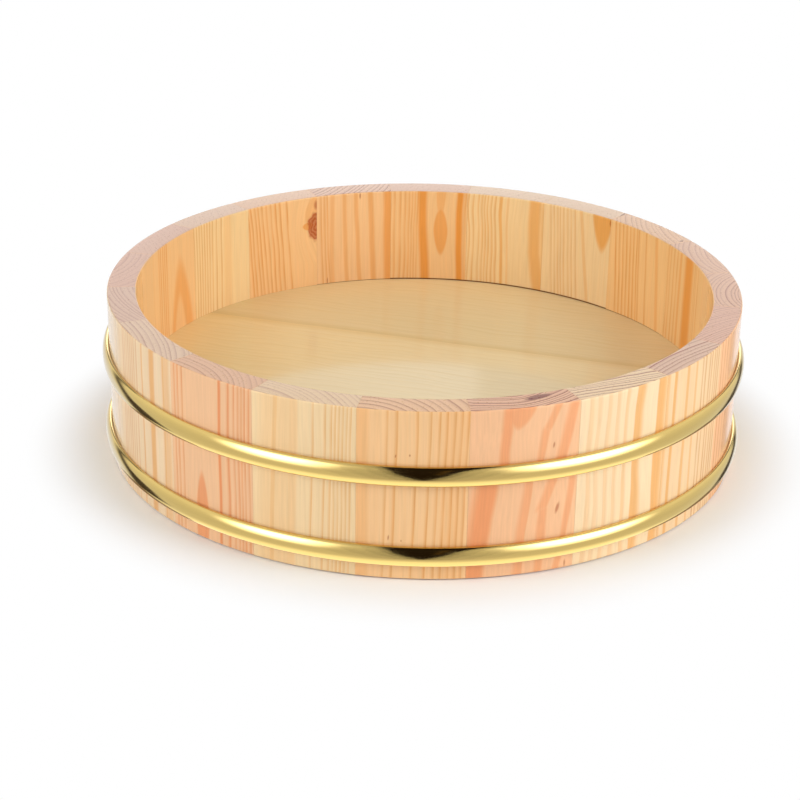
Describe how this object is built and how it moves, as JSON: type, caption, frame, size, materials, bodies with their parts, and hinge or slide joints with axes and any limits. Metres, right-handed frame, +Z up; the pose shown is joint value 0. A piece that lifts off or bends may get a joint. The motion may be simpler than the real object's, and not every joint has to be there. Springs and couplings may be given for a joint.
{
  "type": "sushi rice tub",
  "caption": "Low round coopered tub of upright softwood staves, with a raised board base set in a groove and polished half-round brass hoops, for cooling and seasoning sushi rice.",
  "frame": {"origin": "centre of the foot, on the surface the tub stands on", "axes": "+Z up along the tub's axis; -Y towards the side that the picture shows"},
  "size_m": [0.27, 0.27, 0.07],
  "materials": {
    "stave_amber": "softwood, planed, clear satin lacquer, orange heartwood",
    "stave_rose": "softwood, planed, clear satin lacquer, pinkish heartwood",
    "stave_cream": "softwood, planed, clear satin lacquer, pale sapwood",
    "base": "softwood boards, sanded, clear gloss lacquer",
    "hoop": "rolled half-round band, mirror polished",
    "pin": "split bamboo, bare"
  },
  "bodies": {
    "root": {"stave_01": "stave_amber", "stave_02": "stave_rose", "stave_03": "stave_cream", "stave_04": "stave_cream", "stave_05": "stave_rose", "stave_06": "stave_amber", "stave_07": "stave_amber", "stave_08": "stave_amber", "stave_09": "stave_cream", "stave_10": "stave_cream", "stave_11": "stave_amber", "stave_12": "stave_amber", "stave_13": "stave_amber", "stave_14": "stave_cream", "stave_15": "stave_amber", "stave_16": "stave_amber", "stave_17": "stave_cream", "stave_18": "stave_cream", "stave_19": "stave_rose", "stave_20": "stave_cream", "base_board_front": "base", "base_board_middle": "base", "base_board_back": "base", "upper_hoop": "hoop", "lower_hoop": "hoop", "stave_pin_01": "pin", "stave_pin_02": "pin", "stave_pin_03": "pin", "stave_pin_04": "pin", "stave_pin_05": "pin", "stave_pin_06": "pin", "stave_pin_07": "pin", "stave_pin_08": "pin", "stave_pin_09": "pin", "stave_pin_10": "pin", "stave_pin_11": "pin", "stave_pin_12": "pin", "stave_pin_13": "pin", "stave_pin_14": "pin", "stave_pin_15": "pin", "stave_pin_16": "pin", "stave_pin_17": "pin", "stave_pin_18": "pin", "stave_pin_19": "pin", "stave_pin_20": "pin", "base_pin_back_left": "pin", "base_pin_back_right": "pin", "base_pin_front_left": "pin", "base_pin_front_right": "pin"}
  },
  "joints": []
}
